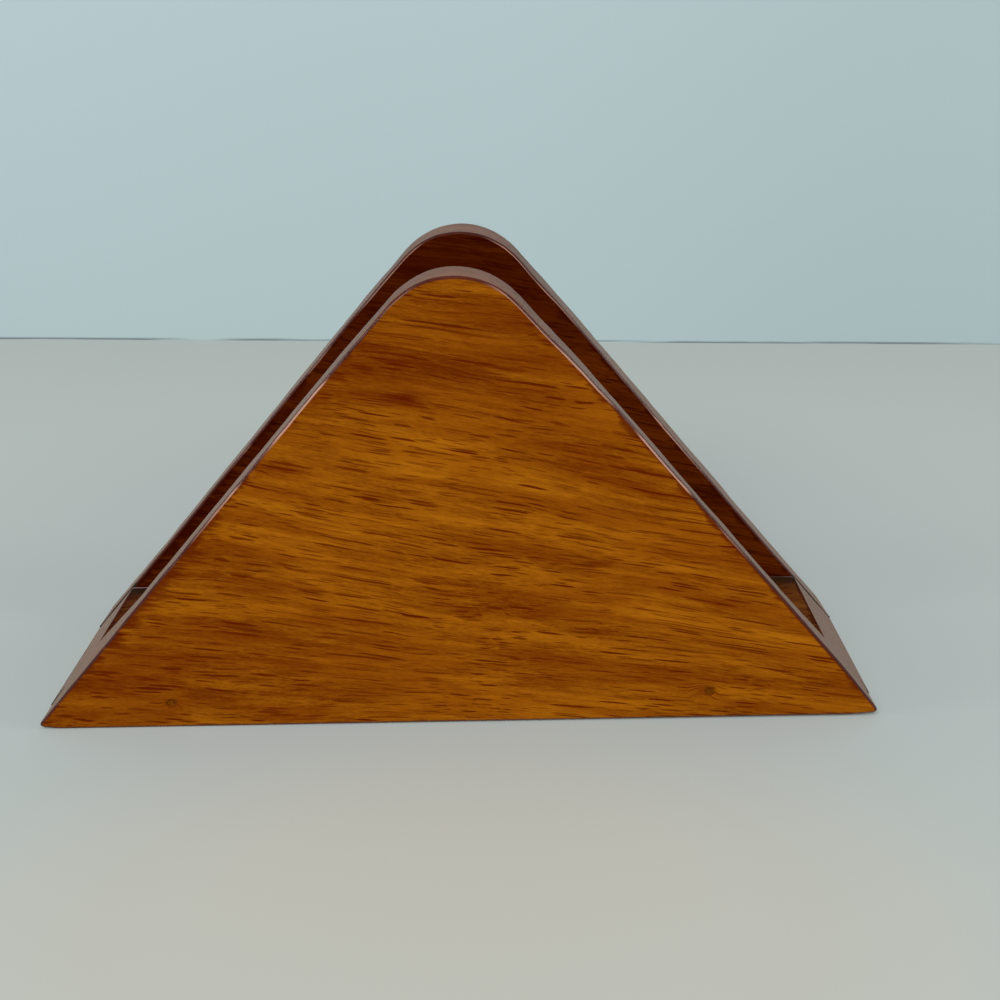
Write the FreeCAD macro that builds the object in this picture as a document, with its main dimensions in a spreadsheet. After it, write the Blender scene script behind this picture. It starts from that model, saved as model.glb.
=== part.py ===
import FreeCAD, Part
import math
import os

import Sketcher

# Triangular napkin holder, in millimetres.
#
# Two boards of one outline stand on edge with a flat base board glued and nailed between them, and
# the napkins stand in the gap. The back board is sawn from thicker wood than the front one. The
# origin is the centre of the footprint, on the table: +X runs along the length, +Y from the front
# board to the back board and +Z up. The back board faces the other way, so its outline and brads
# are the front ones turned half a turn about +Z.

SIZES = [
    # alias, value, what it measures
    ("foot_length", 203.0, "length of a board's bottom edge, between its sharp tips"),
    ("side_angle", 49.0, "slope of both sides above the table, in degrees"),
    ("apex_radius", 19.5, "rounding at the top of a board"),
    ("tip_radius", 1.2, "rounding of the two sharp tips at the table"),
    ("front_thickness", 9.5, "thickness of the front board"),
    ("back_thickness", 13.0, "thickness of the back board"),
    ("board_arris", 0.7, "rounding of a board's edges on its outer face"),
    ("joint_arris", 0.3, "rounding of the edges that meet at the glued joints"),
    ("napkin_gap", 36.5, "clear gap between the boards, and the base board's width"),
    ("base_thickness", 14.0, "thickness of the base board"),
    ("base_end_arris", 0.4, "rounding where the base board's top meets its sloping ends"),
    ("brad_length", 25.0, "length of a brad, from the top of its head to its point"),
    ("brad_diameter", 1.25, "diameter of a brad's shank"),
    ("brad_point", 1.6, "length of a brad's tapered point"),
    ("brad_head_diameter", 2.0, "diameter of a brad's head"),
    ("brad_head_thickness", 0.6, "thickness of a brad's head"),
    ("brad_set", 1.5, "depth of the head's top below the board's face, filled with putty"),
    ("brad_clearance", 0.02, "play around a brad and its putty, on each side"),
    ("left_brad_inset", 33.0, "from the left tip to the left brad, facing the board"),
    ("right_brad_inset", 43.0, "from the right tip to the right brad, facing the board"),
    ("left_brad_lift", -0.3, "left brad above the middle of the base board's thickness"),
    ("right_brad_lift", 0.8, "right brad above the middle of the base board's thickness"),
]
VALUES = {alias: value for alias, value, meaning in SIZES}

# Each side has two brads: the sign of X when facing the board, then its sheet aliases.
BRADS = {
    "left": (-1, "left_brad_inset", "left_brad_lift"),
    "right": (1, "right_brad_inset", "right_brad_lift"),
}

X_AXIS = FreeCAD.Vector(1, 0, 0)
Y_AXIS = FreeCAD.Vector(0, 1, 0)
Z_AXIS = FreeCAD.Vector(0, 0, 1)
NEAR = 1e-5

# The two outer boards: the sign of Y each stands at, its turn about Z and its thickness.
BOARDS = {
    "front": (-1, FreeCAD.Rotation(), "front_thickness"),
    "back": (1, FreeCAD.Rotation(Z_AXIS, 180), "back_thickness"),
}

# Middle of the napkin gap along Y. It is off the origin by half of what the boards differ.
GAP_MIDDLE = "(sizes.front_thickness - sizes.back_thickness) / 2"


def make_sheet(doc):
    """Driving dimensions, one per row: the value in column A, its meaning in column B."""
    sheet = doc.addObject("Spreadsheet::Sheet", "sizes")
    for row, (alias, value, meaning) in enumerate(SIZES, start=1):
        sheet.set(f"A{row}", str(value))
        sheet.setAlias(f"A{row}", alias)
        sheet.set(f"B{row}", meaning)
    doc.recompute()


def new_body(doc, label):
    body = doc.addObject("PartDesign::Body", label)
    body.Label = label
    return body


def new_sketch(body, name, role):
    """Sketch on one of the body's own origin planes, such as XZ_Plane."""
    sketch = body.newObject("Sketcher::SketchObject", name)
    plane = next(item for item in body.Origin.OriginFeatures if item.Role == role)
    sketch.AttachmentSupport = [(plane, "")]
    sketch.MapMode = "FlatFace"
    return sketch


def constrain(sketch, kind, *where):
    return sketch.addConstraint(Sketcher.Constraint(kind, *where))


def dimension(sketch, name, expression, kind, *where):
    """Named dimension whose value follows the sheet."""
    index = constrain(sketch, kind, *where)
    sketch.renameConstraint(index, name)
    sketch.setExpression(f"Constraints.{name}", expression)


def close_loop(sketch, sides):
    for side, following in zip(sides, sides[1:] + sides[:1]):
        constrain(sketch, "Coincident", side, 2, following, 1)


def round_edges(doc, body, name, radius_expression, wanted):
    """Fillet every edge of the body's tip feature that wanted(edge) picks."""
    doc.recompute()
    base = body.Tip
    picked = [f"Edge{number}" for number, edge in enumerate(base.Shape.Edges, start=1) if wanted(edge)]
    fillet = body.newObject("PartDesign::Fillet", name)
    fillet.Base = (base, picked)
    fillet.setExpression("Radius", radius_expression)
    doc.recompute()


def lies_at(edge, axis, level):
    """Whether the whole edge lies in the plane at that level along axis 0, 1 or 2."""
    first, last = edge.ParameterRange
    points = [edge.valueAt(first), edge.valueAt((first + last) / 2), edge.valueAt(last)]
    return all(abs(point[axis] - level) < NEAR for point in points)


def runs_across(edge):
    """Whether the edge is straight and parallel to Y, the way through a board."""
    if not isinstance(edge.Curve, Part.Line):
        return False
    return abs(abs(edge.Curve.Direction.y) - 1) < NEAR


def brad_circles(body, name, face_level, turn=FreeCAD.Rotation()):
    """Sketch with a circle around each of a board's brads, on the XZ face at -Y face_level.

    The turn, about the sketch's own Y, makes the sketch face the other way.
    """
    sketch = new_sketch(body, name, "XZ_Plane")
    sketch.AttachmentOffset = FreeCAD.Placement(FreeCAD.Vector(), turn)
    sketch.setExpression(".AttachmentOffset.Base.z", face_level)
    radius = VALUES["brad_diameter"] / 2
    for side, (sign, inset, lift) in BRADS.items():
        x = sign * (VALUES["foot_length"] / 2 - VALUES[inset])
        z = VALUES["base_thickness"] / 2 + VALUES[lift]
        circle = sketch.addGeometry(Part.Circle(FreeCAD.Vector(x, z, 0), Z_AXIS, radius))
        from_middle, to_middle = ((circle, 3), (-1, 1)) if sign < 0 else ((-1, 1), (circle, 3))
        dimension(sketch, f"{side}_x", f"sizes.foot_length / 2 - sizes.{inset}",
                  "DistanceX", *from_middle, *to_middle, abs(x))
        dimension(sketch, f"{side}_z", f"sizes.base_thickness / 2 + sizes.{lift}",
                  "DistanceY", -1, 1, circle, 3, z)
        dimension(sketch, f"{side}_bore", "sizes.brad_diameter / 2", "Radius", circle, radius)
    return sketch


def brad_holes(doc, body, name, sketch):
    """Holes at the sketch's circles, as wide as a brad's shank with its clearance."""
    doc.recompute()
    hole = body.newObject("PartDesign::Hole", name)
    hole.Profile = sketch
    hole.setExpression("Diameter", "sizes.brad_diameter + 2 * sizes.brad_clearance")
    return hole


def panel_profile(body):
    """Outline of a board: a straight foot, two equal slopes and a rounded apex between them."""
    half = VALUES["foot_length"] / 2
    slope = math.radians(VALUES["side_angle"])
    radius = VALUES["apex_radius"]
    centre = half * math.tan(slope) - radius / math.cos(slope)
    tangent_x = radius * math.sin(slope)
    tangent_z = centre + radius * math.cos(slope)

    left_tip = FreeCAD.Vector(-half, 0, 0)
    right_tip = FreeCAD.Vector(half, 0, 0)
    right_shoulder = FreeCAD.Vector(tangent_x, tangent_z, 0)
    left_shoulder = FreeCAD.Vector(-tangent_x, tangent_z, 0)
    apex = Part.ArcOfCircle(
        Part.Circle(FreeCAD.Vector(0, centre, 0), Z_AXIS, radius),
        math.pi / 2 - slope, math.pi / 2 + slope)

    sketch = new_sketch(body, "Outline", "XZ_Plane")
    foot = sketch.addGeometry(Part.LineSegment(left_tip, right_tip))
    right_slope = sketch.addGeometry(Part.LineSegment(right_tip, right_shoulder))
    crown = sketch.addGeometry(apex)
    left_slope = sketch.addGeometry(Part.LineSegment(left_shoulder, left_tip))

    constrain(sketch, "Coincident", foot, 2, right_slope, 1)
    constrain(sketch, "Tangent", right_slope, 2, crown, 1)
    constrain(sketch, "Tangent", crown, 2, left_slope, 1)
    constrain(sketch, "Coincident", left_slope, 2, foot, 1)
    constrain(sketch, "Symmetric", foot, 1, foot, 2, -1, 1)
    constrain(sketch, "Horizontal", foot)
    constrain(sketch, "PointOnObject", crown, 3, -2)
    dimension(sketch, "foot", "sizes.foot_length", "DistanceX", foot, 1, foot, 2, 2 * half)
    dimension(sketch, "slope", "180 deg - sizes.side_angle * 1 deg",
              "Angle", right_slope, math.pi - slope)
    dimension(sketch, "apex", "sizes.apex_radius", "Radius", crown, radius)
    return sketch


def make_panel(doc, board):
    """An outer board: outer face towards its own -Y, inner face against the base board."""
    sign, rotation, thickness = BOARDS[board]
    body = new_body(doc, f"{board}_panel")
    blank = body.newObject("PartDesign::Pad", "Board")
    blank.Profile = panel_profile(body)
    blank.setExpression("Length", f"sizes.{thickness}")

    round_edges(doc, body, "TipRounding", "sizes.tip_radius",
                lambda edge: runs_across(edge) and lies_at(edge, 2, 0))
    round_edges(doc, body, "OuterArris", "sizes.board_arris",
                lambda edge: lies_at(edge, 1, -VALUES[thickness]))
    round_edges(doc, body, "InnerArris", "sizes.joint_arris",
                lambda edge: lies_at(edge, 1, 0))

    centres = brad_circles(body, "BradCentres", f"sizes.{thickness}")
    hole = brad_holes(doc, body, "BradHoles", centres)
    hole.DepthType = "ThroughAll"
    hole.HoleCutType = "Counterbore"
    hole.HoleCutCustomValues = True
    hole.setExpression("HoleCutDiameter", "sizes.brad_head_diameter + 2 * sizes.brad_clearance")
    hole.setExpression("HoleCutDepth", "sizes.brad_set + sizes.brad_head_thickness")

    body.Placement = FreeCAD.Placement(FreeCAD.Vector(), rotation)
    body.setExpression(".Placement.Base.y", f"{GAP_MIDDLE} + {sign} * sizes.napkin_gap / 2")
    return body


def base_profile(body):
    """End view of the base board along Y: a trapezium whose ends follow the boards' slopes."""
    half = VALUES["foot_length"] / 2
    height = VALUES["base_thickness"]
    slope = math.radians(VALUES["side_angle"])
    top_half = half - height / math.tan(slope)
    corners = [FreeCAD.Vector(x, z, 0)
               for x, z in ((-half, 0), (half, 0), (top_half, height), (-top_half, height))]

    sketch = new_sketch(body, "Outline", "XZ_Plane")
    sides = [sketch.addGeometry(Part.LineSegment(start, end))
             for start, end in zip(corners, corners[1:] + corners[:1])]
    close_loop(sketch, sides)
    foot, right_end, top, left_end = sides
    constrain(sketch, "Symmetric", foot, 1, foot, 2, -1, 1)
    constrain(sketch, "Horizontal", foot)
    constrain(sketch, "Symmetric", top, 1, top, 2, -2)
    dimension(sketch, "foot", "sizes.foot_length", "DistanceX", foot, 1, foot, 2, 2 * half)
    dimension(sketch, "thickness", "sizes.base_thickness", "DistanceY", foot, 2, top, 1, height)
    dimension(sketch, "slope", "180 deg - sizes.side_angle * 1 deg",
              "Angle", right_end, math.pi - slope)
    return sketch


def make_base_board(doc):
    """The flat board between the two others, with its ends cut flush with their slopes."""
    body = new_body(doc, "base_board")
    board = body.newObject("PartDesign::Pad", "Board")
    board.Profile = base_profile(body)
    board.setExpression("Length", "sizes.napkin_gap")
    board.Midplane = True

    half_gap = VALUES["napkin_gap"] / 2
    round_edges(doc, body, "TipRounding", "sizes.tip_radius",
                lambda edge: runs_across(edge) and lies_at(edge, 2, 0))
    round_edges(doc, body, "EndArris", "sizes.base_end_arris",
                lambda edge: runs_across(edge) and lies_at(edge, 2, VALUES["base_thickness"]))
    round_edges(doc, body, "JointArris", "sizes.joint_arris",
                lambda edge: lies_at(edge, 1, -half_gap) or lies_at(edge, 1, half_gap))

    for board, (sign, rotation, thickness) in BOARDS.items():
        turn = FreeCAD.Rotation(Y_AXIS, 0 if sign < 0 else 180)
        centres = brad_circles(body, f"{board.title()}BradCentres",
                               f"{-sign} * sizes.napkin_gap / 2", turn)
        hole = brad_holes(doc, body, f"{board.title()}BradHoles", centres)
        hole.setExpression("Depth", f"sizes.brad_length - sizes.{thickness} + sizes.brad_set"
                           " + sizes.brad_clearance")
        hole.DrillPoint = "Angled"
        hole.DrillForDepth = True
        hole.setExpression("DrillPointAngle",
                           "2 * atan(sizes.brad_diameter / 2 / sizes.brad_point)")

    body.setExpression(".Placement.Base.y", GAP_MIDDLE)
    return body


def set_into_face(item, board, side):
    """Put a piece's origin where a brad's head tops out, with its own +Z out of the face."""
    sign, rotation, thickness = BOARDS[board]
    side_sign, inset, lift = BRADS[side]
    item.Placement = FreeCAD.Placement(
        FreeCAD.Vector(), rotation.multiply(FreeCAD.Rotation(X_AXIS, 90)))
    item.setExpression(".Placement.Base.x",
                       f"{-sign * side_sign} * (sizes.foot_length / 2 - sizes.{inset})")
    item.setExpression(".Placement.Base.y",
                       f"{GAP_MIDDLE} + {sign} * (sizes.napkin_gap / 2 + sizes.{thickness}"
                       " - sizes.brad_set)")
    item.setExpression(".Placement.Base.z", f"sizes.base_thickness / 2 + sizes.{lift}")


def make_brad(doc, board, side):
    """Steel brad, turned about its own Z with the head on top and the point down."""
    head = VALUES["brad_head_diameter"] / 2
    shank = VALUES["brad_diameter"] / 2
    under_head = -VALUES["brad_head_thickness"]
    point_end = -VALUES["brad_length"]
    point_start = point_end + VALUES["brad_point"]
    corners = [FreeCAD.Vector(x, z, 0)
               for x, z in ((0, 0), (head, 0), (head, under_head), (shank, under_head),
                            (shank, point_start), (0, point_end))]

    body = new_body(doc, f"{board}_{side}_brad")
    sketch = new_sketch(body, "HalfSection", "XZ_Plane")
    sides = [sketch.addGeometry(Part.LineSegment(start, end))
             for start, end in zip(corners, corners[1:] + corners[:1])]
    close_loop(sketch, sides)
    top, rim, seat, flank, point, axis = sides
    constrain(sketch, "Coincident", top, 1, -1, 1)
    constrain(sketch, "Vertical", axis)
    constrain(sketch, "Horizontal", top)
    constrain(sketch, "Vertical", rim)
    constrain(sketch, "Horizontal", seat)
    constrain(sketch, "Vertical", flank)
    dimension(sketch, "head", "sizes.brad_head_diameter / 2", "DistanceX", top, 1, top, 2, head)
    dimension(sketch, "rim", "sizes.brad_head_thickness", "DistanceY", rim, 2, rim, 1, -under_head)
    dimension(sketch, "shank", "sizes.brad_diameter / 2", "DistanceX", -1, 1, flank, 1, shank)
    dimension(sketch, "length", "sizes.brad_length", "DistanceY", axis, 1, axis, 2, -point_end)
    dimension(sketch, "taper", "sizes.brad_point", "DistanceY", point, 2, point, 1,
              point_start - point_end)

    turned = body.newObject("PartDesign::Revolution", "Turned")
    turned.Profile = sketch
    turned.ReferenceAxis = (sketch, ["V_Axis"])
    turned.Angle = 360
    set_into_face(body, board, side)
    return body


def make_filler(doc, board, side):
    """Wood putty over a brad's head, level with the board's face."""
    label = f"{board}_{side}_filler"
    plug = doc.addObject("Part::Cylinder", label)
    plug.Label = label
    plug.setExpression("Radius", "sizes.brad_head_diameter / 2")
    plug.setExpression("Height", "sizes.brad_set")
    set_into_face(plug, board, side)
    return plug


def make_holder(doc):
    pieces = [make_panel(doc, board) for board in BOARDS]
    pieces.append(make_base_board(doc))
    for board in BOARDS:
        for side in BRADS:
            pieces.append(make_brad(doc, board, side))
            pieces.append(make_filler(doc, board, side))
    return pieces


def check(doc, pieces):
    for item in doc.Objects:
        if {"Invalid", "Error"} & set(item.State):
            raise RuntimeError(f"{item.Label}: {item.State}")
    for piece in pieces:
        if piece.Shape.isNull() or not piece.Shape.isValid():
            raise RuntimeError(f"{piece.Label} has no valid shape")
        if len(piece.Shape.Solids) != 1:
            raise RuntimeError(f"{piece.Label} is not one solid")


doc = FreeCAD.newDocument("napkin_holder")
make_sheet(doc)
pieces = make_holder(doc)
doc.recompute()
check(doc, pieces)

os.makedirs("parts", exist_ok=True)
for piece in pieces:
    piece.Shape.exportStep(f"parts/{piece.Label}.step")
    print(f"{piece.Label}: {piece.Shape.Volume:.3f} mm3, {len(piece.Shape.Faces)} faces")
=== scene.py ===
import math

import bmesh
import bpy
from mathutils import Matrix, Vector, noise


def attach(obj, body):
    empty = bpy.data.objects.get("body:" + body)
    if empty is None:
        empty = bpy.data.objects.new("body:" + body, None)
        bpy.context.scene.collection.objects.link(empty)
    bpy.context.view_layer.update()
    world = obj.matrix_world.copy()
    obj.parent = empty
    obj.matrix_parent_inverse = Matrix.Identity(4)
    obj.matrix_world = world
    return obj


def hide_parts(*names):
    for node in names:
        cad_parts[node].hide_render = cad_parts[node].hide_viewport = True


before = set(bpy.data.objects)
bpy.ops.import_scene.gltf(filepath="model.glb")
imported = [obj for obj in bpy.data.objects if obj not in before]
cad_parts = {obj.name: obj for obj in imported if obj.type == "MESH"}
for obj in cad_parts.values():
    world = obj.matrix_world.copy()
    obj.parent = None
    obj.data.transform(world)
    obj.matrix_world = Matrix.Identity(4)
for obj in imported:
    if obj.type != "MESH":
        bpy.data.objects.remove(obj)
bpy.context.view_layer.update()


# The two upright boards: triangles sawn from amber hardwood, the back one thicker, grain along
# the length, edges eased with sandpaper, then sealed with clear satin lacquer.

MM = 0.001

BOARD_TIP = 101.5
SIDE_ANGLE = math.radians(49)
PEAK = BOARD_TIP * math.tan(SIDE_ANGLE)
BACK_PEAK = PEAK + 0.6
FRONT_APEX = 19.5
BACK_APEX = 20.3
TIP_RADIUS = 0.8
SHARP_TIP = 0.15
LEFT_FOOT = -96.0
LEFT_LIFT = 0.6
RIGHT_FOOT = 93.0
RIGHT_LIFT = 1.1
FRONT_FACE = -29.5
FRONT_JOINT = -20.0
BACK_JOINT = 16.5
BACK_FACE = 29.5
BASE_TOP = 14.0
BOARD_SANDING = 0.12
SHANK_STOP = 0.2

GOLDEN_WOOD = (0.425, 0.137, 0.0042)
BROWN_WOOD = (0.125, 0.018, 0.0002)
PORE_BROWN = (0.100, 0.0075, 0.0002)
RED_WOOD = (0.200, 0.038, 0.0008)
SOAKED_WOOD = (0.110, 0.0130, 0.0006)
# Painted shade over the faces in the slot between the boards.
SLOT_PAINTED_SHADE = (0.26, 0.11, 0.25)
# Dark glue in the joints; also the colour of the painted shade beside the back joint.
GLUE_AND_SHADE_BROWN = (0.020, 0.0090, 0.0040)
SANDED_EDGE = (0.245, 0.162, 0.108)
EDGE_SHADE = (1.05, 1.25, 1.00)
# Painted shade on the sawn edges towards the peak.
PEAK_PAINTED_SHADE = (0.72, 0.50, 0.36)
# Painted shade on the eased arrises.
ARRIS_PAINTED_SHADE = (0.44, 0.27, 0.24)
# Painted highlight: a pale glint along the rims of the sawn edges.
PAINTED_ARRIS_GLINT = (0.46, 0.24, 0.17)
FACE_GLOSS = 0.04
FACE_BEND = 1.2
EDGE_GLOSS = 0.5
EDGE_BEND = 1.39
FACE_ROUGHNESS = 0.30
EDGE_ROUGHNESS = 0.38
PORE_DEPTH = 0.05


def new_material(name):
    """A bare material, its node tree and its shader."""
    material = bpy.data.materials.new(name)
    material.use_nodes = True
    tree = material.node_tree
    tree.nodes.clear()
    shader = tree.nodes.new("ShaderNodeBsdfPrincipled")
    output = tree.nodes.new("ShaderNodeOutputMaterial")
    tree.links.new(shader.outputs["BSDF"], output.inputs["Surface"])
    return material, tree, shader


def plug(tree, socket, value):
    """Link another node's output to a socket, or set a plain value on it."""
    if isinstance(value, bpy.types.NodeSocket):
        tree.links.new(value, socket)
    elif socket.type == "RGBA" and len(value) == 3:
        socket.default_value = (*value, 1)
    else:
        socket.default_value = value


def maths_node(tree, kind, operation, values):
    node = tree.nodes.new(kind)
    node.operation = operation
    for socket, value in zip(node.inputs, values):
        plug(tree, socket, value)
    return node


def calculate(tree, operation, *values):
    return maths_node(tree, "ShaderNodeMath", operation, values).outputs[0]


def scaled(tree, vector, factors):
    return maths_node(tree, "ShaderNodeVectorMath", "MULTIPLY", (vector, factors)).outputs[0]


def added(tree, first, second):
    return maths_node(tree, "ShaderNodeVectorMath", "ADD", (first, second)).outputs[0]


def length_of(tree, vector):
    return maths_node(tree, "ShaderNodeVectorMath", "LENGTH", (vector,)).outputs["Value"]


def parts_of(tree, vector):
    node = tree.nodes.new("ShaderNodeSeparateXYZ")
    plug(tree, node.inputs[0], vector)
    return node.outputs


def joined(tree, *values):
    node = tree.nodes.new("ShaderNodeCombineXYZ")
    for socket, value in zip(node.inputs, values):
        plug(tree, socket, value)
    return node.outputs[0]


def fade(tree, value, start, end):
    """0 where the value is at start, 1 where it is at end, with soft ends."""
    node = tree.nodes.new("ShaderNodeMapRange")
    node.interpolation_type = "SMOOTHSTEP"
    plug(tree, node.inputs["Value"], value)
    plug(tree, node.inputs["From Min"], start)
    plug(tree, node.inputs["From Max"], end)
    return node.outputs["Result"]


def blend_colours(tree, amount, first, second, mode="MIX"):
    node = tree.nodes.new("ShaderNodeMix")
    node.data_type = "RGBA"
    node.blend_type = mode
    plug(tree, node.inputs[0], amount)
    plug(tree, node.inputs[6], first)
    plug(tree, node.inputs[7], second)
    return node.outputs[2]


def raise_bumps(tree, shader, height, depth):
    """Relief on the surface: height is drawn that many millimetres deep."""
    node = tree.nodes.new("ShaderNodeBump")
    plug(tree, node.inputs["Distance"], depth * MM)
    plug(tree, node.inputs["Height"], height)
    tree.links.new(node.outputs["Normal"], shader.inputs["Normal"])


def place_in_mm(tree):
    """The point on the piece, in millimetres."""
    point = tree.nodes.new("ShaderNodeTexCoord").outputs["Object"]
    return scaled(tree, point, (1 / MM, 1 / MM, 1 / MM))


def smooth_noise(tree, vector, detail=0.0):
    """Soft random values: one around 0.5, and the same as a colour of three."""
    node = tree.nodes.new("ShaderNodeTexNoise")
    plug(tree, node.inputs["Vector"], vector)
    plug(tree, node.inputs["Scale"], 1.0)
    plug(tree, node.inputs["Detail"], detail)
    return node.outputs["Fac"], node.outputs["Color"]


def wobble(tree, vector, lengths, amounts):
    """The vector pushed about by smooth noise of the given lengths and amounts."""
    _, push = smooth_noise(tree, scaled(tree, vector, [1 / length for length in lengths]))
    centred = added(tree, push, (-0.5, -0.5, -0.5))
    return added(tree, vector, scaled(tree, centred, [2 * amount for amount in amounts]))


def streaks(tree, fibres, length, width, detail=1.0):
    """Smooth noise drawn out along the fibres, around 0.5."""
    return smooth_noise(tree, scaled(tree, fibres, (1 / length, 1 / width, 1 / width)), detail)[0]


# How far the fibres drop for each millimetre to the right: at the middle of the foot, more for
# each millimetre up, and less again for its square.
FIBRE_SLOPE = (0.067, 0.00436, -0.0000373)
# How much steeper that gets for each millimetre to the right, and its change higher up.
FIBRE_TURN = (0.000545, -0.0000077)
# How far the fibres run out of the face: in the middle, to the right of it and higher up.
FIBRE_DIVE = (-0.070, 0.00008, 0.0001)
# Waves in the fibres, each as its lengths and its heights along X, Y and Z.
FIBRE_WAVES = (
    ((48, 26, 22), (0, 1.1, 1.5)),
    ((13, 5, 5), (0, 0.35, 0.35)),
    ((3.5, 1.2, 1.2), (0, 0.07, 0.10)),
)


def along_the_fibres(tree, place, start, marks, spots):
    """Millimetres along the fibres, through the board and across them, in wavy grain.

    place is the point in the board in millimetres, start the board's own place in the plank.
    The fibres drop to the right, most steeply half-way up, and rise over each mark.
    """
    x, _, z = parts_of(tree, place)
    at_foot, going_up, squared = FIBRE_SLOPE
    slope = calculate(tree, "MULTIPLY_ADD", z, squared, going_up)
    slope = calculate(tree, "MULTIPLY_ADD", z, slope, at_foot)
    to_right, going_up = FIBRE_TURN
    turn = calculate(tree, "MULTIPLY_ADD", z, going_up, to_right)
    slope = calculate(tree, "MULTIPLY_ADD", x, turn, slope)
    drop = calculate(tree, "MULTIPLY", x, slope)
    for spot, (_, _, _, _, _, lift) in zip(spots, marks):
        drop = calculate(tree, "MULTIPLY_ADD", spot, -lift, drop)
    in_middle, to_right, going_up = FIBRE_DIVE
    dive = calculate(tree, "MULTIPLY_ADD", x, to_right, in_middle)
    dive = calculate(tree, "MULTIPLY_ADD", z, going_up, dive)
    dive = calculate(tree, "MULTIPLY", x, dive)
    fibres = added(tree, added(tree, place, start), joined(tree, 0.0, dive, drop))
    for lengths, heights in FIBRE_WAVES:
        fibres = wobble(tree, fibres, lengths, heights)
    return fibres


def soft_spot(tree, place, x, z, half_length, half_height):
    """1 at a place on the board's face, fading to 0 at the rim of a ragged ellipse."""
    ragged = wobble(tree, place, (5, 5, 1.5), (1.2, 0, 0.5))
    offset = scaled(tree, added(tree, ragged, (-x, 0, -z)), (1 / half_length, 0, 1 / half_height))
    return fade(tree, length_of(tree, offset), 1.0, 0.0)


def depth_from_edge(tree, place):
    """Millimetres inward from the sloping edges."""
    x, _, z = parts_of(tree, place)
    reach = calculate(tree, "SUBTRACT", BOARD_TIP, calculate(tree, "ABSOLUTE", x))
    inward = calculate(tree, "MULTIPLY", reach, math.sin(SIDE_ANGLE))
    return calculate(tree, "MULTIPLY_ADD", z, -math.cos(SIDE_ANGLE), inward)


# The soaked edge, in millimetres: how deep its patches and tongues reach, and how much deeper
# they do low on the left.
SOAK_SHALLOW = -4.0
SOAK_PATCH = 9.0
SOAK_TONGUE = 5.0
SOAK_LEAST = 0.3
LOW_LEFT_PATCH = 3.0
LOW_LEFT_TONGUE = 17.0


def edge_soak(tree, place, fibres):
    """Where the finish has soaked in along the sloping edges: 1 at the edge.

    Its depth comes and goes, in tongues that follow the fibres, longest low on the left.
    """
    inward = depth_from_edge(tree, place)
    patches, _ = smooth_noise(tree, scaled(tree, place, (1 / 9, 1 / 6, 1 / 9)), 2.0)
    tongues = streaks(tree, added(tree, fibres, (5, 80, 30)), 11, 1.0, 2.0)
    x, _, z = parts_of(tree, place)
    low_left = calculate(tree, "MULTIPLY", fade(tree, x, -40, -60), fade(tree, z, 10, 18))
    depth = calculate(tree, "MULTIPLY_ADD", patches, SOAK_PATCH, SOAK_SHALLOW)
    depth = calculate(tree, "MULTIPLY_ADD", low_left, LOW_LEFT_PATCH, depth)
    tongue_length = calculate(tree, "MULTIPLY_ADD", low_left, LOW_LEFT_TONGUE, SOAK_TONGUE)
    centred = calculate(tree, "SUBTRACT", tongues, 0.5)
    depth = calculate(tree, "MULTIPLY_ADD", centred, tongue_length, depth)
    depth = calculate(tree, "MAXIMUM", depth, SOAK_LEAST)
    return fade(tree, inward, depth, calculate(tree, "MULTIPLY", depth, 0.15))


def vessels(tree, fibres, length, spacing, radius, share):
    """Open vessels as long slim tubes: the core is 1 inside them, the halo fades round them.

    share is the part of the cells that hold one; each has its own size and depth.
    """
    cells = tree.nodes.new("ShaderNodeTexVoronoi")
    sizes = (1 / length, 1 / spacing, 1 / spacing)
    plug(tree, cells.inputs["Vector"], scaled(tree, fibres, sizes))
    plug(tree, cells.inputs["Scale"], 1.0)
    chance, size, depth = parts_of(tree, cells.outputs["Color"])
    present = calculate(tree, "LESS_THAN", chance, share)
    reach = calculate(tree, "MULTIPLY", present, calculate(tree, "MULTIPLY_ADD", size, 0.6, 0.7))
    reach = calculate(tree, "MULTIPLY", reach, radius / spacing)
    distance = cells.outputs["Distance"]
    core = fade(tree, distance, reach, calculate(tree, "MULTIPLY", reach, 0.65))
    halo = fade(tree, distance, calculate(tree, "MULTIPLY", reach, 2.6), 0.0)
    strength = calculate(tree, "MULTIPLY_ADD", depth, 0.6, 0.4)
    return calculate(tree, "MULTIPLY", core, strength), calculate(tree, "MULTIPLY", halo, strength)


# The figure of the wood, as length, width and share of the tone.
BANDS = (55, 8.0, 0.42)
STRIPES = (26, 1.5, 0.27)
HAIRS = (5, 0.34, 0.18)
FLECKS = (1.3, 0.22, 0.16)
# Where its tone is darkest and palest; its red streaks, and where they start and are full.
TONE_ENDS = (0.30, 0.74)
RED_STREAKS = (40, 5.0, 2.0)
RED_ENDS = (0.42, 0.62)
# Its vessels, as length, spacing, radius and share of the places that hold one.
WIDE_VESSELS = (150, 0.74, 0.25, 0.97)
FINE_VESSELS = (70, 0.48, 0.15, 0.90)


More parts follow.
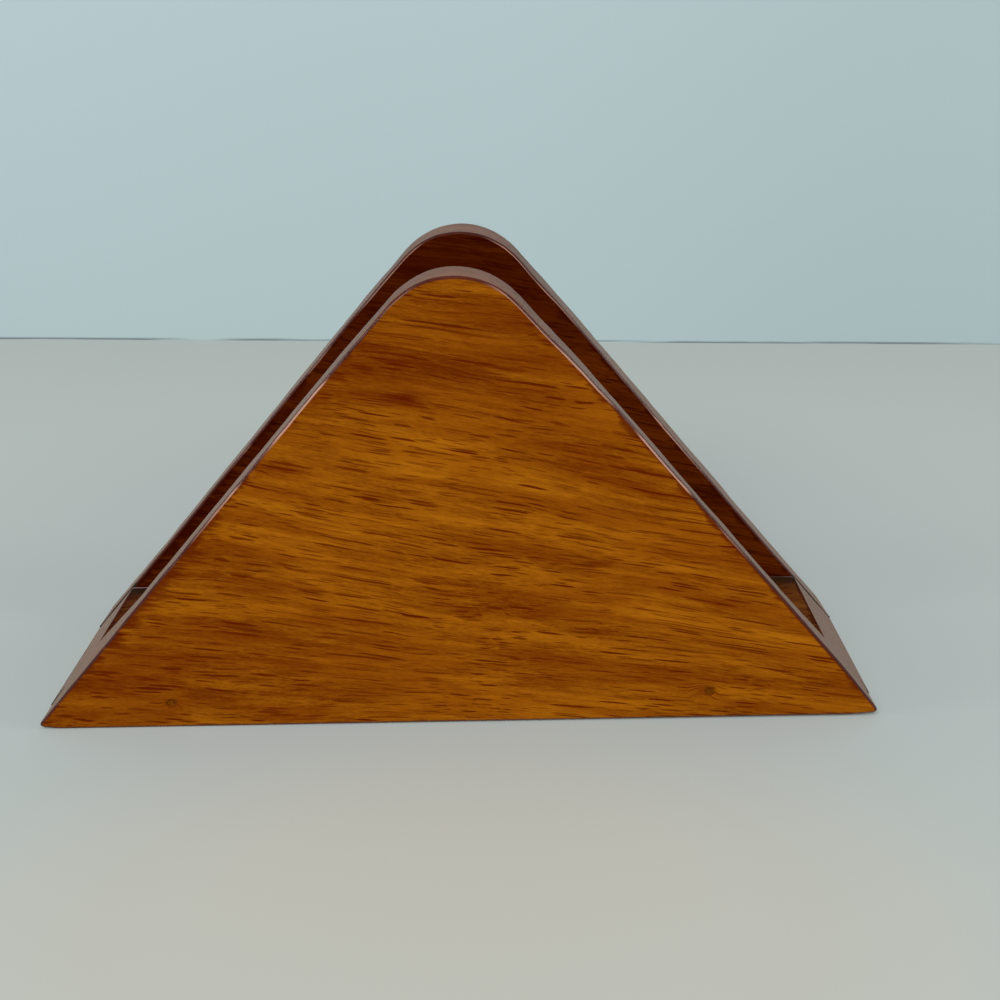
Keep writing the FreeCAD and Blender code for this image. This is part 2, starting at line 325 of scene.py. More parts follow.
def face_colour(tree, place, fibres):
    """The wood's colour with painted light and shade, and its hairs and vessels for the relief."""
    figure = (BANDS, STRIPES, HAIRS, FLECKS)
    layers = [streaks(tree, fibres, length, width) for length, width, _ in figure]
    x, _, z = parts_of(tree, place)
    tone = 0.0
    for layer, (_, _, share) in zip(layers, figure):
        tone = calculate(tree, "MULTIPLY_ADD", layer, share, tone)
    # Painted light and shade: the tone grows lighter to the right and darker towards the peak.
    tone = calculate(tree, "MULTIPLY_ADD", x, 0.0003, tone)
    tone = calculate(tree, "MULTIPLY_ADD", fade(tree, z, 72, 102), -0.10, tone)
    colour = blend_colours(tree, fade(tree, tone, *TONE_ENDS), BROWN_WOOD, GOLDEN_WOOD)

    red = streaks(tree, added(tree, fibres, (9, 50, 5)), *RED_STREAKS)
    red = fade(tree, red, *RED_ENDS)
    colour = blend_colours(tree, calculate(tree, "MULTIPLY", red, 0.40), colour, RED_WOOD)
    soak = calculate(tree, "MULTIPLY", edge_soak(tree, place, fibres), 0.85)
    colour = blend_colours(tree, soak, colour, SOAKED_WOOD)

    core, halo = vessels(tree, fibres, *WIDE_VESSELS)
    fine_core, _ = vessels(tree, added(tree, fibres, (37, 3, 5)), *FINE_VESSELS)
    for part, darkness in ((halo, 0.16), (fine_core, 0.75), (core, 0.95)):
        colour = blend_colours(tree, calculate(tree, "MULTIPLY", part, darkness),
                               colour, PORE_BROWN)
    return colour, layers[2], core


GLUE_SPREAD = 5.0


def glue_line(tree, x, y, z):
    """The dark line of each glued joint where it comes out on the sloping ends.

    The front one is pressed out over the base in a ragged band, heavier on the left.
    """
    ragged, _ = smooth_noise(tree, scaled(tree, joined(tree, x, 0.0, z), (0.2, 1, 0.2)), 3.0)
    past_front = calculate(tree, "SUBTRACT", y, FRONT_JOINT)
    pressed_out = calculate(tree, "MULTIPLY_ADD", ragged, -GLUE_SPREAD, past_front)
    front = calculate(tree, "MULTIPLY", fade(tree, past_front, -0.7, -0.4),
                      fade(tree, pressed_out, 0.6, 0.0))
    front = calculate(tree, "MULTIPLY", front,
                      calculate(tree, "MULTIPLY_ADD", fade(tree, x, 20, -20), 0.6, 0.3))
    past_back = calculate(tree, "ABSOLUTE", calculate(tree, "SUBTRACT", y, BACK_JOINT))
    line = calculate(tree, "ADD", front, fade(tree, past_back, 0.80, 0.45))
    below_top = fade(tree, z, BASE_TOP + 0.3, BASE_TOP - 0.3)
    return calculate(tree, "MULTIPLY", line, below_top)


RIM_BLUR = 0.15


def rims(tree, y, near, far, near_easing, far_easing):
    """Millimetres from a sawn edge's nearer rim, and 1 where that rim is eased."""
    past_near = calculate(tree, "SUBTRACT", y, near)
    before_far = calculate(tree, "SUBTRACT", far, y)
    eased = calculate(tree, "MAXIMUM",
                      fade(tree, past_near, near_easing + RIM_BLUR, near_easing - RIM_BLUR),
                      fade(tree, before_far, far_easing + RIM_BLUR, far_easing - RIM_BLUR))
    return calculate(tree, "MINIMUM", past_near, before_far), eased


def sawn_edge_colour(tree, place, colour, edge_of):
    """The wood where it is sawn and sanded, its eased arrises, and the glue on it; with painted
    shade on the arrises and towards the peak, and a painted glint along the rims.
    """
    x, y, z = parts_of(tree, place)
    to_rim, arris = rims(tree, y, *edge_of)
    # Painted shade: the eased arrises are darker than the flat of the sawn edge.
    shade = blend_colours(tree, arris, EDGE_SHADE, ARRIS_PAINTED_SHADE)
    colour = blend_colours(tree, 1.0, colour, shade, "MULTIPLY")
    sanded = calculate(tree, "MULTIPLY_ADD", arris, -0.5, 0.5)
    colour = blend_colours(tree, sanded, colour, SANDED_EDGE)
    # Painted shade: the sawn edges grow darker towards the peak.
    colour = blend_colours(tree, fade(tree, z, 82, 103), colour, PEAK_PAINTED_SHADE, "MULTIPLY")
    patches, _ = smooth_noise(tree, scaled(tree, place, (1 / 22, 1 / 22, 1 / 22)), 2.0)
    # A painted highlight: a thin pale glint just inside each rim, in patches, on the upper slopes
    # but not at the very peak.
    painted_glint = calculate(tree, "MULTIPLY", fade(tree, to_rim, 0.24, 0.10),
                     fade(tree, patches, 0.40, 0.52))
    glint_reach = calculate(tree, "MULTIPLY", fade(tree, z, 38, 62),
                      fade(tree, calculate(tree, "ABSOLUTE", x), 5, 12))
    colour = blend_colours(tree, calculate(tree, "MULTIPLY", painted_glint, glint_reach), colour, PAINTED_ARRIS_GLINT)
    glue = glue_line(tree, x, y, z)
    return blend_colours(tree, glue, colour, GLUE_AND_SHADE_BROWN), arris, glue


def lacquered_wood(name, start, marks=(), edge_of=None, inside=SLOT_PAINTED_SHADE):
    """Open-pored amber hardwood under satin lacquer, cut from the plank at its own place.

    Each mark is a dark spot in the wood: x, z, half length, half height, darkness, and how far
    the fibres rise over it. edge_of gives the faces at the two rims of a sawn edge, and how far
    each rim is eased. inside is the painted shade laid over the faces in the slot between the
    boards.
    """
    material, tree, shader = new_material(name)
    place = place_in_mm(tree)
    spots = [soft_spot(tree, place, *mark[:4]) for mark in marks]
    fibres = along_the_fibres(tree, place, start, marks, spots)
    colour, hairs, core = face_colour(tree, place, fibres)
    for spot, (_, _, _, _, darkness, _) in zip(spots, marks):
        shadow = calculate(tree, "MULTIPLY", spot, darkness)
        colour = blend_colours(tree, shadow, colour, PORE_BROWN)

    rubbed, _ = smooth_noise(tree, scaled(tree, place, (1 / 15, 1 / 4, 1 / 15)), 2.0)
    rough = calculate(tree, "MULTIPLY_ADD", rubbed, 0.14,
                      EDGE_ROUGHNESS if edge_of else FACE_ROUGHNESS)
    if edge_of:
        colour, arris, glue = sawn_edge_colour(tree, place, colour, edge_of)
        rough = calculate(tree, "MULTIPLY_ADD", arris, -0.25, rough)
        rough = calculate(tree, "MULTIPLY_ADD", glue, 0.5, rough)
    else:
        _, y, _ = parts_of(tree, place)
        # Painted shade: the faces in the slot between the boards are darkened.
        slot_shade_amount = calculate(tree, "MULTIPLY", fade(tree, y, FRONT_JOINT - 0.5, FRONT_JOINT + 0.1),
                           fade(tree, y, BACK_JOINT + 0.5, BACK_JOINT - 0.1))
        colour = blend_colours(tree, slot_shade_amount, colour, inside, "MULTIPLY")
    plug(tree, shader.inputs["Base Color"], colour)
    plug(tree, shader.inputs["Specular IOR Level"], EDGE_GLOSS if edge_of else FACE_GLOSS)
    plug(tree, shader.inputs["IOR"], EDGE_BEND if edge_of else FACE_BEND)
    plug(tree, shader.inputs["Roughness"], calculate(tree, "MULTIPLY_ADD", core, 0.2, rough))
    relief = calculate(tree, "MULTIPLY_ADD", core, -1.0, calculate(tree, "MULTIPLY", hairs, 0.25))
    raise_bumps(tree, shader, relief, PORE_DEPTH)
    return material


SAME_LEVEL = 0.001
ABOVE_HALF = 50
NEAR_TIPS = 98
OUTER_ENDS = 80


def on_level(vert, level):
    """Whether a corner lies at a level of Y."""
    return abs(vert.co.y - level) < SAME_LEVEL


def across(edge):
    """How far an edge runs through the board, from face to face."""
    return abs(edge.verts[0].co.y - edge.verts[1].co.y)


def rounding_offset(radius, corner):
    """How far back from a corner of that angle a rounding starts."""
    return radius / math.tan(corner / 2)


def saw_blank(mesh, corners, near, far):
    """Saw a slab to the outline of its corners, between two levels of Y."""
    outline = [mesh.verts.new((x, near, z)) for x, z in corners]
    grown = bmesh.ops.extrude_face_region(mesh, geom=[mesh.faces.new(outline)])
    moved = [item for item in grown["geom"] if isinstance(item, bmesh.types.BMVert)]
    bmesh.ops.translate(mesh, verts=moved, vec=(0, far - near, 0))
    bmesh.ops.recalc_face_normals(mesh, faces=mesh.faces)


def foot_corners(left_lift=0.0, right_lift=0.0):
    """The corners along the foot, and where it is sanded up a little towards each tip."""
    left = (-BOARD_TIP + left_lift / math.tan(SIDE_ANGLE), left_lift)
    right = (BOARD_TIP - right_lift / math.tan(SIDE_ANGLE), right_lift)
    bends = ((LEFT_FOOT, 0), (RIGHT_FOOT, 0)) if left_lift else ()
    return (left,) + bends + (right,)


def cross_edges(mesh, wanted):
    """Edges that run straight from the near face to the far one, where wanted(x, z) is true."""
    return [edge for edge in mesh.edges
            if across(edge) > 1 and wanted(edge.verts[0].co.x, edge.verts[0].co.z)]


def round_over(mesh, edges, offset, steps):
    bmesh.ops.bevel(mesh, geom=edges, offset=offset, offset_type="OFFSET", segments=steps,
                    profile=0.5, affect="EDGES", material=-1, clamp_overlap=False)


def round_tips(mesh, radius):
    """Ease the tips, and the lines where a sanded foot starts to rise."""
    tips = cross_edges(mesh, lambda x, z: abs(x) > NEAR_TIPS and z < 2)
    round_over(mesh, tips, rounding_offset(radius, SIDE_ANGLE), 6)
    bends = cross_edges(mesh, lambda x, z: x in (LEFT_FOOT, RIGHT_FOOT))
    if bends:
        round_over(mesh, bends, 2.0, 3)


def move_corners(mesh, level, left, right, peak=0.0):
    """Saw out of square: move the corners at a level of Y outwards, and the peak upwards."""
    for vert in mesh.verts:
        if on_level(vert, level) and vert.co.z > ABOVE_HALF:
            vert.co.z += peak
        elif on_level(vert, level) and abs(vert.co.x) > OUTER_ENDS:
            vert.co.x += right if vert.co.x > 0 else -left


def rim_edges(mesh, level):
    """Edges round the face that lies at a level of Y."""
    return [edge for edge in mesh.edges
            if all(on_level(vert, level) for vert in edge.verts)
            and len(edge.link_faces) == 2 and edge.calc_face_angle() > 0.5]


MARK_SPACING = 2.5


def mark_off(mesh):
    """Split the long sloping edges evenly, so that they can wander a little."""
    slopes = [edge for edge in mesh.edges
              if across(edge) < SAME_LEVEL
              and abs(edge.verts[0].co.z - edge.verts[1].co.z) > 3]
    cuts = round(slopes[0].calc_length() / MARK_SPACING)
    bmesh.ops.subdivide_edges(mesh, edges=slopes, cuts=cuts)
    across_faces = [edge for edge in mesh.edges
                    if across(edge) < SAME_LEVEL
                    and len(edge.link_faces) == 2 and edge.calc_face_angle() < 0.001]
    bmesh.ops.dissolve_edges(mesh, edges=across_faces)


SHOULDER = 15.5


def bow_out(mesh, level, amount):
    """Swell the right-hand slope a little at a level of Y, where the saw left it full."""
    for vert in mesh.verts:
        if on_level(vert, level) and vert.co.x > SHOULDER:
            along = (BOARD_TIP - vert.co.x) / (BOARD_TIP - SHOULDER)
            swell = amount * min(1.0, 8 * along, 5 * (1 - along))
            vert.co += swell * Vector((math.sin(SIDE_ANGLE), 0, math.cos(SIDE_ANGLE)))


def flare(mesh, level, side, height, reach, amount):
    """Let a sawn end stand out a little near one height, at a level of Y."""
    for vert in mesh.verts:
        if on_level(vert, level) and side * vert.co.x > SHOULDER:
            vert.co.x += side * amount * math.exp(-((vert.co.z - height) / reach) ** 2)


EASED_ZONE = 1.5
SHOULDER_WEAR = 0.35
SHOULDER_REACH = 6


def sand_by_hand(mesh, levels, depth, seed):
    """Wear the eased edges unevenly: the points of the rounding sink a little, and never grow.

    The shoulders of the boards, where the slopes turn into the peak, wear most.
    """
    mesh.normal_update()
    middle = sum(levels) / 2
    for vert in mesh.verts:
        direction = Vector((vert.normal.x, 0, vert.normal.z))
        off_face = min(abs(vert.co.y - level) for level in levels)
        if direction.length < 0.02 or off_face > EASED_ZONE or vert.co.z < 0.2:
            continue
        place = vert.co / 9 + Vector((seed, seed, 0))
        wear = max(0.0, 0.35 + noise.noise(place) + 0.5 * noise.noise(place * 3)) * depth
        if vert.co.z > ABOVE_HALF + 10:
            from_shoulder = (abs(vert.co.x) - SHOULDER) / SHOULDER_REACH
            wear += SHOULDER_WEAR * math.exp(-from_shoulder ** 2)
        vert.co -= direction.normalized() * wear
        if off_face > SAME_LEVEL:
            vert.co.y += math.copysign(wear, middle - vert.co.y) * 0.8


def keep_above_table(mesh):
    for vert in mesh.verts:
        vert.co.z = max(vert.co.z, 0.0)


def faces_at(mesh, x, level, z):
    """The faces at a level of Y that span the point x, z."""
    found = []
    for face in mesh.faces:
        corners = [vert.co for vert in face.verts]
        if (all(on_level(vert, level) for vert in face.verts)
                and min(c.x for c in corners) < x < max(c.x for c in corners)
                and min(c.z for c in corners) < z < max(c.z for c in corners)):
            found.append(face)
    return found


SHANK_RADIUS = 0.66
FILL_HOLE = (1.02, 2.15)
HALF_PATCH = 1.7
PATCH_CUTS = 5
STEP_WIDTH = 0.12


def drill(mesh, x, z, level, inward, bores):
    """Sink a stepped round hole into the face at a level of Y; bores are (radius, depth).

    A small square is marked out round it first, so that the rest of the face stays flat.
    """
    left, right, foot, top = x - HALF_PATCH, x + HALF_PATCH, z - HALF_PATCH, z + HALF_PATCH
    for plane, direction in (((left, 0, 0), (1, 0, 0)), ((right, 0, 0), (1, 0, 0)),
                             ((0, 0, foot), (0, 0, 1)), ((0, 0, top), (0, 0, 1))):
        faces = faces_at(mesh, x, level, z)
        parts = faces + [part for face in faces for part in (*face.edges, *face.verts)]
        bmesh.ops.bisect_plane(mesh, geom=list(dict.fromkeys(parts)), plane_co=plane,
                               plane_no=direction)
    square = faces_at(mesh, x, level, z)[0]
    bmesh.ops.subdivide_edges(mesh, edges=square.edges[:], cuts=PATCH_CUTS)
    square = faces_at(mesh, x, level, z)[0]
    for radius, depth in bores:
        bmesh.ops.inset_individual(mesh, faces=[square], thickness=STEP_WIDTH,
                                   use_even_offset=True)
        for vert in square.verts:
            arm = Vector((vert.co.x - x, 0, vert.co.z - z)).normalized() * radius
            vert.co = Vector((x + arm.x, vert.co.y, z + arm.z))
        square = bmesh.ops.extrude_discrete_faces(mesh, faces=[square])["faces"][0]
        now = square.verts[0].co.y
        bmesh.ops.translate(mesh, verts=square.verts[:],
                            vec=(0, level + inward * depth - now, 0))


def as_object(mesh, name, materials):
    """Turn a finished mesh into an object in the scene."""
    data = bpy.data.meshes.new(name)
    mesh.to_mesh(data)
    mesh.free()
    for material in materials:
        data.materials.append(material)
    thing = bpy.data.objects.new(name, data)
    bpy.context.scene.collection.objects.link(thing)
    return thing


def finish_piece(mesh, name, materials, node, is_edge):
    """Turn the shaped wood into the piece that stands for a node."""
    bmesh.ops.scale(mesh, vec=(MM, MM, MM), verts=mesh.verts)
    for face in mesh.faces:
        face.smooth = True
        face.material_index = 1 if is_edge(face) else 0
    piece = as_object(mesh, name, materials)
    piece.modifiers.new("flat_faces", "WEIGHTED_NORMAL")
    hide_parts(node)
    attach(piece, "root")
    return piece


def upright_board(name, node, outer, inner, corners, apex_radius, arrises, bows, spread, flares,
                  fills, materials):
    """One triangle between two levels of Y, with its foot's corners given.

    arrises and bows are for the outer and the inner rim; spread is how far the inner rim stands
    out past the outer one at the left, at the right and at the peak. Each flare is a level of Y,
    a side, a height, a reach and an amount. The shank holes stop short of the inner face.
    """
    mesh = bmesh.new()
    near, far = sorted((outer, inner))
    saw_blank(mesh, corners, near, far)
    move_corners(mesh, inner, *spread)
    round_over(mesh, cross_edges(mesh, lambda x, z: z > ABOVE_HALF),
               rounding_offset(apex_radius, math.pi - 2 * SIDE_ANGLE), 24)
    round_tips(mesh, TIP_RADIUS if len(corners) > 3 else SHARP_TIP)
    mark_off(mesh)
    for rim, bow in zip((outer, inner), bows):
        bow_out(mesh, rim, bow)
    for item in flares:
        flare(mesh, *item)
    for rim, arris in zip((outer, inner), arrises):
        round_over(mesh, rim_edges(mesh, rim), arris, 3)
    sand_by_hand(mesh, (near, far), BOARD_SANDING, near)
    keep_above_table(mesh)
    shank_hole = (SHANK_RADIUS, abs(outer - inner) - SHANK_STOP)
    for x, z in fills:
        drill(mesh, x, z, outer, math.copysign(1, inner - outer), (FILL_HOLE, shank_hole))
    piece = finish_piece(mesh, name, materials, node,
                         lambda face: abs(face.normal.y) < 0.99 and face.normal.z > -0.5)


LEFT, RIGHT = -1, 1

FRONT_ARRISES = (0.6, 0.35)
FRONT_START = (0, 0, 0)
FRONT_FILLS = ((-68.5, 6.7), (58.5, 7.8))
FRONT_MARKS = (
    (-10.9, 81.5, 8.0, 2.4, 0.80, 0.3),
    (-68.2, 6.6, 3.0, 2.2, 0.35, 0.7),
    (57.0, 8.0, 4.5, 4.2, 0.50, 2.2),
)
FRONT_FLARES = (
    (FRONT_JOINT, LEFT, 16, 9, 1.0),
    (FRONT_JOINT, RIGHT, 16, 9, 0.5),
)
front_wood = lacquered_wood("front_board_wood", FRONT_START, marks=FRONT_MARKS)
front_edges = lacquered_wood("front_board_edges", FRONT_START,
                             edge_of=(FRONT_FACE, FRONT_JOINT, *FRONT_ARRISES))
upright_board("front_board", "front_panel", FRONT_FACE, FRONT_JOINT,
              foot_corners(LEFT_LIFT, RIGHT_LIFT) + ((0, PEAK),), FRONT_APEX,
              arrises=FRONT_ARRISES, bows=(0.7, 0.2), spread=(0.0, 0.0, 0.0),
              flares=FRONT_FLARES, fills=FRONT_FILLS, materials=(front_wood, front_edges))

BACK_INNER_ARRIS = 0.6
BACK_OUTER_ARRIS = 0.25
BACK_START = (310, 40, 70)
BACK_FILLS = [(-x, z) for x, z in FRONT_FILLS]
BACK_FLARES = (
    (BACK_FACE, LEFT, 0, 10, 0.40),
    (BACK_FACE, RIGHT, 0, 10, 0.35),
    (BACK_JOINT, LEFT, 6, 12, 0.30),
    (BACK_JOINT, RIGHT, 6, 12, 0.50),
)
back_wood = lacquered_wood("back_board_wood", BACK_START)
back_edges = lacquered_wood("back_board_edges", BACK_START,
                            edge_of=(BACK_JOINT, BACK_FACE, BACK_INNER_ARRIS, BACK_OUTER_ARRIS))
upright_board("back_board", "back_panel", BACK_FACE, BACK_JOINT,
              foot_corners() + ((0, BACK_PEAK),), BACK_APEX,
              arrises=(BACK_OUTER_ARRIS, BACK_INNER_ARRIS), bows=(0.0, 0.0),
              spread=(0.35, 0.45, 0.3), flares=BACK_FLARES, fills=BACK_FILLS,
              materials=(back_wood, back_edges))


# The base board: a low piece of the same wood, glued and nailed between the two boards, its
# ends sawn to the same slope. It is a little out of true: thinner on the left, and with its ends
# standing out a little more at the back joint than at the front one.

BASE_LEFT_TOP = 12.9
BASE_TOP_ROUNDING = 0.5
BASE_SANDING = 0.15
BASE_SEED = 8.0
BASE_FRONT_ARRIS = 0.35
BASE_BACK_ARRIS = 0.5
BASE_START = (150, 90, 20)
# Painted shade on the base's top, down in the slot between the boards.
BASE_TOP_PAINTED_SHADE = (0.37, 0.38, 1.70)
# Painted highlight on the glue along the back joint.
PAINTED_BEAD_GLINT = (0.20, 0.14, 0.15)
FRONT_SHANK_REACH = 17.2
BACK_SHANK_REACH = 13.7


def paint_joint_shade_and_glint(material):
    """Paint shade on the base's top towards the back joint, and a pale painted highlight on the
    glue pressed out along it.
    """
    tree = material.node_tree
    shader = tree.nodes["Principled BSDF"]
    _, y, _ = parts_of(tree, wobble(tree, place_in_mm(tree), (12, 6, 6), (0, 0.5, 0)))
    # Painted shade on the base's top, growing darker towards the back board.
    painted_joint_shade = calculate(tree, "MULTIPLY", fade(tree, y, BACK_JOINT - 8, BACK_JOINT - 2), 0.92)
    colour = shader.inputs["Base Color"].links[0].from_socket
    colour = blend_colours(tree, painted_joint_shade, colour, GLUE_AND_SHADE_BROWN)
    # A painted highlight: a thin pale line on the glue along the back joint.
    bead_glint = fade(tree, y, BACK_JOINT - 0.9, BACK_JOINT - 0.6)
    plug(tree, shader.inputs["Base Color"], blend_colours(tree, bead_glint, colour, PAINTED_BEAD_GLINT))
    return material


def base_board(materials):
    left_top = BOARD_TIP - BASE_LEFT_TOP / math.tan(SIDE_ANGLE)
    right_top = BOARD_TIP - BASE_TOP / math.tan(SIDE_ANGLE)
    mesh = bmesh.new()
    top = ((right_top, BASE_TOP), (-left_top, BASE_LEFT_TOP))
    saw_blank(mesh, foot_corners() + top, FRONT_JOINT, BACK_JOINT)
    move_corners(mesh, FRONT_JOINT, 0.0, -0.1)
    move_corners(mesh, BACK_JOINT, 0.3, 0.7)
    round_tips(mesh, SHARP_TIP)
    round_over(mesh, cross_edges(mesh, lambda x, z: z > BASE_TOP / 2), BASE_TOP_ROUNDING, 4)
    mark_off(mesh)
    round_over(mesh, rim_edges(mesh, FRONT_JOINT), BASE_FRONT_ARRIS, 2)
    round_over(mesh, rim_edges(mesh, BACK_JOINT), BASE_BACK_ARRIS, 2)
    sand_by_hand(mesh, (FRONT_JOINT, BACK_JOINT), BASE_SANDING, BASE_SEED)
    keep_above_table(mesh)
    for x, z in FRONT_FILLS:
        drill(mesh, x, z, FRONT_JOINT, 1, ((SHANK_RADIUS, FRONT_SHANK_REACH),))
        drill(mesh, -x, z, BACK_JOINT, -1, ((SHANK_RADIUS, BACK_SHANK_REACH),))
    piece = finish_piece(mesh, "base", materials, "base_board",
                         lambda face: abs(face.normal.x) > 0.5 or 0.1 < abs(face.normal.y) < 0.99)


# The base's top carries the slot's painted shade, with more painted shade and a painted highlight
# at the back joint.
base_wood = paint_joint_shade_and_glint(lacquered_wood("base_board_wood", BASE_START, inside=BASE_TOP_PAINTED_SHADE))
base_ends = lacquered_wood("base_board_ends", BASE_START,
                           edge_of=(FRONT_JOINT, BACK_JOINT, BASE_FRONT_ARRIS, BASE_BACK_ARRIS))
base_board((base_wood, base_ends))


# Brads and putty: four steel brads through the boards into the base board, each head set below
# the face and the hole over it filled with tinted wood putty.

PUTTY_COLOUR = (0.200, 0.050, 0.0016)
DARK_PUTTY = (0.100, 0.025, 0.0008)
STEEL_COLOUR = (0.42, 0.41, 0.39)
SCRATCHED_STEEL = (0.55, 0.54, 0.52)


def wood_putty():
    material, tree, shader = new_material("tinted_putty")
    lumps, _ = smooth_noise(tree, scaled(tree, place_in_mm(tree), (2.2, 2.2, 2.2)), 2.0)
    plug(tree, shader.inputs["Base Color"],
         blend_colours(tree, fade(tree, lumps, 0.35, 0.65), DARK_PUTTY, PUTTY_COLOUR))
    plug(tree, shader.inputs["Roughness"], fade(tree, lumps, -1.0, 1.6))
    plug(tree, shader.inputs["Specular IOR Level"], FACE_GLOSS)
    plug(tree, shader.inputs["IOR"], FACE_BEND)
    raise_bumps(tree, shader, lumps, 0.05)
    return material


def bright_steel():
    material, tree, shader = new_material("brad_steel")
    scratches, _ = smooth_noise(tree, scaled(tree, place_in_mm(tree), (1.5, 6, 6)), 2.0)
    plug(tree, shader.inputs["Base Color"],
         blend_colours(tree, scratches, STEEL_COLOUR, SCRATCHED_STEEL))
    plug(tree, shader.inputs["Metallic"], 1.0)
    plug(tree, shader.inputs["Roughness"], fade(tree, scratches, -0.6, 1.6))
    raise_bumps(tree, shader, scratches, 0.01)
    return material


putty = wood_putty()
steel = bright_steel()
for board in ("front", "back"):
    for side in ("left", "right"):
        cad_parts[f"{board}_{side}_filler"].material_slots[0].material = putty
        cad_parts[f"{board}_{side}_brad"].material_slots[0].material = steel


# The table and the wall behind it: pale matt surfaces that lie behind and under the holder as a
# backdrop, with painted shadow and light on them and painted shade in the narrow seam between
# them.

FAR_FLOOR = (0.470, 0.525, 0.500)
# Painted shadow on the table around the holder.
FLOOR_PAINTED_SHADOW = (0.425, 0.475, 0.465)
# Painted warm light bounced from the wood onto the table in front of the holder.
FLOOR_PAINTED_BOUNCE = (0.495, 0.505, 0.452)
# Painted shade in the seam where the wall meets the table.
SEAM_PAINTED_SHADE = (0.20, 0.24, 0.26)
# Painted shade on the wall to either side.
WALL_PAINTED_SIDE_SHADE = (0.435, 0.535, 0.552)
WALL_COLOUR = (0.47, 0.58, 0.60)
WALL_AWAY = 303 * MM
WALL_TURN = math.radians(1.9)


def matt_paint(name):
    material, tree, shader = new_material(name)
    plug(tree, shader.inputs["Roughness"], 0.9)
    plug(tree, shader.inputs["Specular IOR Level"], 0.0)
    return material, tree, shader, place_in_mm(tree)


def floor_paint():
    """Pale and even, with painted shadow around the holder and painted warm bounce light in front
    of it.
    """
    material, tree, shader, place = matt_paint("floor_paint")
    colour = FAR_FLOOR
    # Painted shadow around the holder, then painted warm light bounced from the wood in front of
    # it.
    for tint, centre, size in ((FLOOR_PAINTED_SHADOW, (0, 40, 0), (260, 200, 100)),
                               (FLOOR_PAINTED_BOUNCE, (0, -95, 0), (150, 75, 100))):
        offset = scaled(tree, added(tree, place, [-value for value in centre]),
                        [1 / value for value in size])
        tinted = fade(tree, length_of(tree, offset), 1.0, 0.3)
        colour = blend_colours(tree, tinted, colour, tint)
    plug(tree, shader.inputs["Base Color"], colour)
    return material


def wall_paint():
    """Pale paint, with painted shade to the sides and in the seam along the table."""
    material, tree, shader, place = matt_paint("wall_paint")
    broken, _ = smooth_noise(tree, scaled(tree, place, (1 / 40, 1 / 40, 1)), 2.0)
    x, _, z = parts_of(tree, place)
    # Painted shade: the wall darkens to either side of a patch a little left of the holder.
    shaded_aside = fade(tree, calculate(tree, "ABSOLUTE", calculate(tree, "ADD", x, 110)), 100, 340)
    colour = blend_colours(tree, shaded_aside, WALL_COLOUR, WALL_PAINTED_SIDE_SHADE)
    # Painted shade in the seam along the table, broken into patches.
    seam = calculate(tree, "MULTIPLY", fade(tree, z, 1.6, 0.6), fade(tree, broken, 0.3, 0.6))
    plug(tree, shader.inputs["Base Color"], blend_colours(tree, seam, colour, SEAM_PAINTED_SHADE))
    return material


def flat_sheet(name, half_width, half_depth, material, place):
    shape = bmesh.new()
    bmesh.ops.create_grid(shape, x_segments=1, y_segments=1, size=1)
    bmesh.ops.scale(shape, vec=(half_width, half_depth, 1), verts=shape.verts)
    bmesh.ops.transform(shape, matrix=place, verts=shape.verts)
    sheet = as_object(shape, name, (material,))
    return sheet


flat_sheet("floor", 4, 4, floor_paint(), Matrix.Identity(4))
wall_place = (Matrix.Translation((0, WALL_AWAY, 0.5)) @ Matrix.Rotation(-WALL_TURN, 4, "Z")
              @ Matrix.Rotation(math.radians(90), 4, "X"))
wall = flat_sheet("wall", 2, 0.5, wall_paint(), wall_place)
wall.visible_diffuse = False
wall.visible_shadow = False


# Soft studio light: a wide window high in front, a slim lamp low on either side, and a pale
# room all round, which looks a little brighter in the gloss of the wood than it shines.

ROOM_COLOUR = (0.97, 0.99, 1.0, 1)
ROOM_LIGHT = 0.38
ROOM_SEEN = 0.52
LAMP_ASIDE = 1.06


def soft_light(name, place, target, width, height, radiance, glossy=True):
    """Rectangle of light; radiance 1 looks like a white sheet."""
    data = bpy.data.lights.new(name, "AREA")
    data.shape = "RECTANGLE"
    data.size = width
    data.size_y = height
    data.energy = radiance * math.pi * width * height
    lamp = bpy.data.objects.new(name, data)
    lamp.location = place
    lamp.rotation_euler = (Vector(target) - Vector(place)).to_track_quat("-Z", "Y").to_euler()
    lamp.visible_camera = False
    lamp.visible_glossy = glossy
    bpy.context.scene.collection.objects.link(lamp)


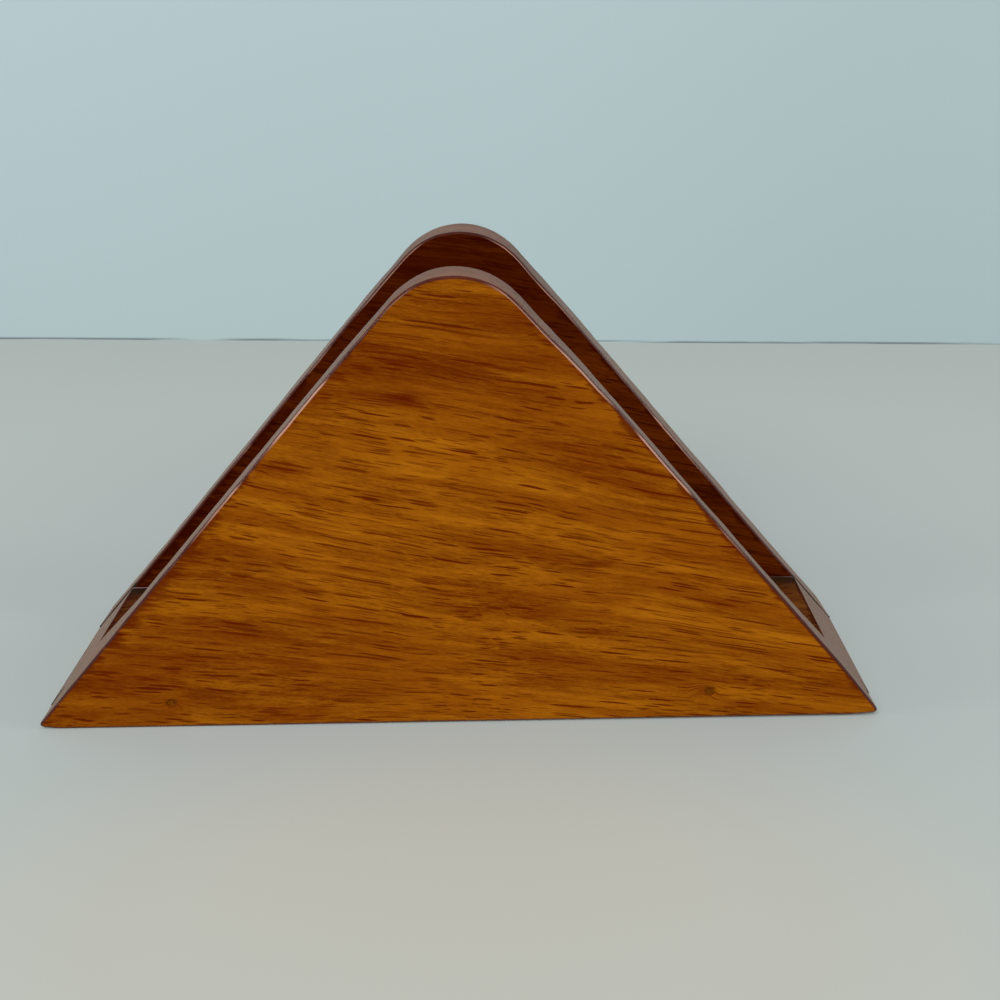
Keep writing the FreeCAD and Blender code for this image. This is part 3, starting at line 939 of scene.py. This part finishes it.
soft_light("front_window", (-0.30, -1.25, 1.45), (0, 0, 0.05), 1.8, 1.2, 4.7, glossy=False)
soft_light("right_lamp", (LAMP_ASIDE, -0.18, 0.50), (0, 0, 0.06), 0.22, 0.40, 7.0)
soft_light("left_lamp", (-LAMP_ASIDE, -0.18, 0.50), (0, 0, 0.06), 0.22, 0.40, 5.0)

world = bpy.data.worlds.new("room")
world.use_nodes = True
room = world.node_tree.nodes["Background"]
room.inputs["Color"].default_value = ROOM_COLOUR
ray = world.node_tree.nodes.new("ShaderNodeLightPath")
seen = calculate(world.node_tree, "MAXIMUM", ray.outputs["Is Camera Ray"],
                 ray.outputs["Is Glossy Ray"])
seen = calculate(world.node_tree, "MAXIMUM", seen, ray.outputs["Is Transmission Ray"])
plug(world.node_tree, room.inputs["Strength"],
     calculate(world.node_tree, "MULTIPLY_ADD", seen, ROOM_SEEN - ROOM_LIGHT, ROOM_LIGHT))
bpy.context.scene.world = world


# The camera stands a forearm's length in front of the holder, a little above it, and looks
# down at it through a lens of middling width.

CAMERA_PLACE = Vector((7.76, -234.0, 151.1)) * MM
CAMERA_YAW = -0.0372
CAMERA_PITCH = -0.4390
CAMERA_ROLL = -0.0066
FOCAL_PIXELS = 1038.9
CENTRE_SHIFT = (30.3, 14.5)
IMAGE_WIDTH = 1000
SENSOR_WIDTH = 36

camera_data = bpy.data.cameras.new("camera")
camera_data.sensor_width = SENSOR_WIDTH
camera_data.lens = FOCAL_PIXELS / IMAGE_WIDTH * SENSOR_WIDTH
camera_data.shift_x = -CENTRE_SHIFT[0] / IMAGE_WIDTH
camera_data.shift_y = CENTRE_SHIFT[1] / IMAGE_WIDTH
camera_data.clip_start = 0.01
camera = bpy.data.objects.new("camera", camera_data)
turn = (Matrix.Rotation(CAMERA_YAW, 4, "Z") @ Matrix.Rotation(CAMERA_PITCH, 4, "X")
        @ Matrix.Rotation(CAMERA_ROLL, 4, "Y") @ Matrix.Rotation(math.radians(90), 4, "X"))
camera.matrix_world = Matrix.Translation(CAMERA_PLACE) @ turn
bpy.context.scene.collection.objects.link(camera)
bpy.context.scene.camera = camera

bpy.context.scene.view_settings.view_transform = "Standard"
